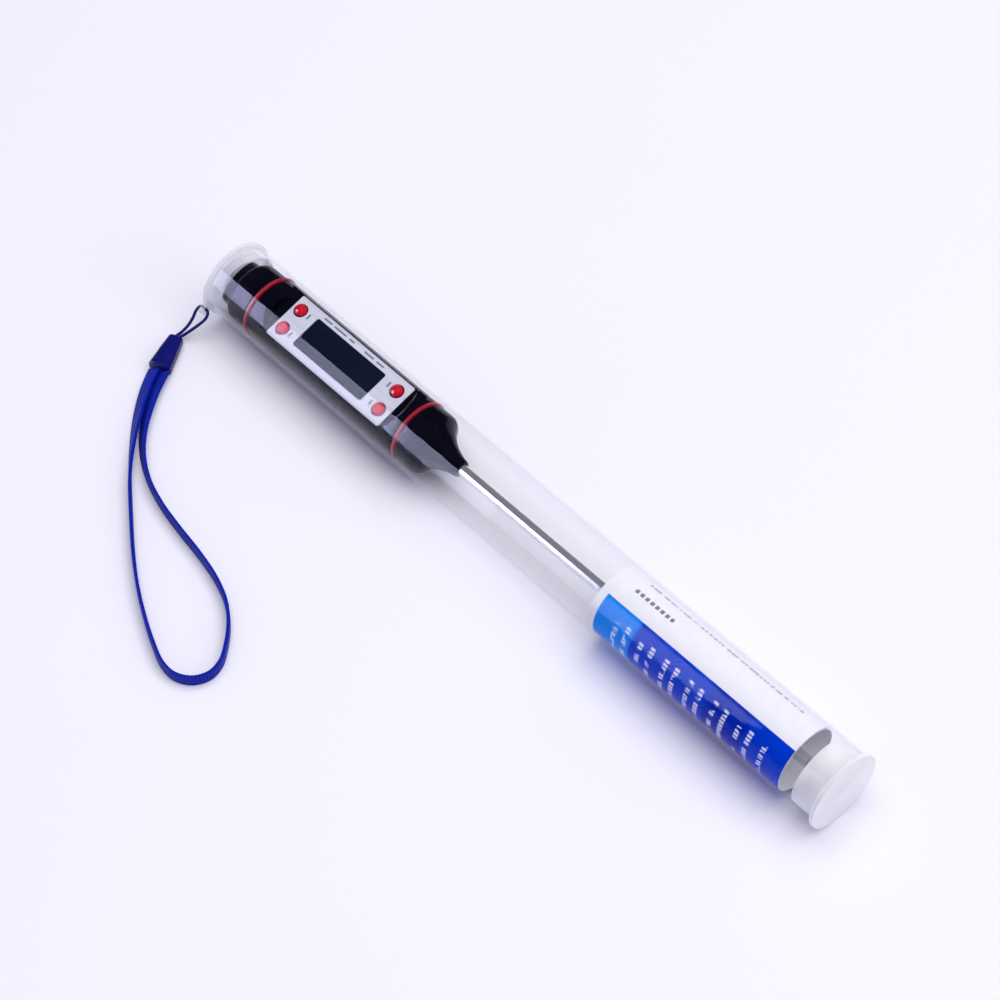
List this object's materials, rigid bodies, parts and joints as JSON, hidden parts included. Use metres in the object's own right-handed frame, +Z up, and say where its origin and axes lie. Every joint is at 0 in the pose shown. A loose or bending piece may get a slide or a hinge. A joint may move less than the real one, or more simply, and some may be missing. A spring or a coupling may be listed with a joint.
{
  "type": "probe thermometer",
  "caption": "Pen-shaped digital probe thermometer in a clear round storage tube with plug caps, a rolled leaflet and a wrist strap.",
  "frame": {"origin": "under the middle of the tube with its caps, on the surface that the object lies on; the strap is left out", "axes": "+X along the tube from the strap cap to the plain end cap, +Z up, strap on the -Y side"},
  "size_m": [0.2487, 0.1134, 0.0247],
  "materials": {
    "clear_plastic": "clear extruded plastic, polished",
    "frosted_plastic": "translucent moulded plastic, satin",
    "leaflet_paper": "coated paper, printed",
    "string_navy": "braided cord",
    "connector_navy": "moulded plastic, satin",
    "webbing_blue": "woven tape",
    "black_casing": "moulded plastic, glossy",
    "red_rubber": "moulded rubber, satin",
    "red_button": "domed, glossy",
    "silver_plate": "satin anodised",
    "window": "dark clear window, polished",
    "lcd": "display glass",
    "white_moulding": "moulded, matte",
    "strip_rubber": "layered contact rubber",
    "board": "solder resist, satin",
    "chip": "resin, matte",
    "spring_steel": "pressed, bright",
    "cell_steel": "nickel plated",
    "probe_steel": "polished stainless tube",
    "contact_brass": "pressed, bright",
    "red_insulation": "wire insulation",
    "black_insulation": "wire insulation"
  },
  "bodies": {
    "tube": {"storage_tube": "clear_plastic", "instruction_leaflet": "leaflet_paper"},
    "end_cap": {"bottom_cap": "frosted_plastic"},
    "thermometer": {"front_shell": "black_casing", "rear_shell": "black_casing", "face_plate": "silver_plate", "display_window": "window", "battery_collar": "black_casing", "nose_seal_ring": "red_rubber", "nose_cone": "black_casing", "probe_tube": "probe_steel", "lcd_glass": "lcd", "lcd_frame": "white_moulding", "contact_strip": "strip_rubber", "circuit_board": "board", "controller_chip": "chip", "power_switch": "spring_steel", "hold_switch": "spring_steel", "unit_switch": "spring_steel", "memory_switch": "spring_steel", "coin_battery": "cell_steel", "battery_rear_contact": "contact_brass", "battery_lead_positive": "red_insulation", "battery_lead_negative": "black_insulation", "probe_bush": "contact_brass", "thermistor_bead": "chip", "thermistor_lead_a": "red_insulation", "thermistor_lead_b": "red_insulation"},
    "seal_ring": {"battery_seal_ring": "red_rubber"},
    "battery_cap": {"battery_cap": "black_casing", "battery_contact_spring": "contact_brass"},
    "strap_cap": {"top_cap": "frosted_plastic", "strap_string": "string_navy", "strap_connector": "connector_navy", "strap_webbing": "webbing_blue"},
    "power_button": {"power_button": "red_button"},
    "hold_button": {"hold_button": "red_button"},
    "unit_button": {"unit_button": "red_button"},
    "memory_button": {"memory_button": "red_button"}
  },
  "joints": [
    {"name": "end_cap_pull", "type": "slide", "parent": "tube", "child": "end_cap", "axis": [1, 0, 0], "range_m": [0, 0.03]},
    {"name": "thermometer_slide", "type": "slide", "parent": "tube", "child": "thermometer", "axis": [-1, 0, 0], "range_m": [0, 0.245]},
    {"name": "battery_cap_advance", "type": "slide", "parent": "thermometer", "child": "seal_ring", "axis": [-1, 0, 0], "range_m": [0, 0.0068]},
    {"name": "battery_cap_turn", "type": "hinge", "parent": "seal_ring", "child": "battery_cap", "pos_m": [-0.114, 0.00097, 0.01216], "axis": [-1, 0, 0], "range_deg": [0, 1620]},
    {"name": "strap_cap_pull", "type": "slide", "parent": "seal_ring", "child": "strap_cap", "axis": [-1, 0, 0], "range_m": [0, 0.03]},
    {"name": "power_press", "type": "slide", "parent": "thermometer", "child": "power_button", "axis": [0, 0.2504, -0.9681], "range_m": [0, 0.0006], "stiffness_N_per_m": 250},
    {"name": "hold_press", "type": "slide", "parent": "thermometer", "child": "hold_button", "axis": [0, 0.2504, -0.9681], "range_m": [0, 0.0006], "stiffness_N_per_m": 250},
    {"name": "unit_press", "type": "slide", "parent": "thermometer", "child": "unit_button", "axis": [0, 0.2504, -0.9681], "range_m": [0, 0.0006], "stiffness_N_per_m": 250},
    {"name": "memory_press", "type": "slide", "parent": "thermometer", "child": "memory_button", "axis": [0, 0.2504, -0.9681], "range_m": [0, 0.0006], "stiffness_N_per_m": 250}
  ],
  "couplings": [
    {"joint": "battery_cap_advance", "follows": "battery_cap_turn", "m_per_rad": 0.00023873}
  ]
}
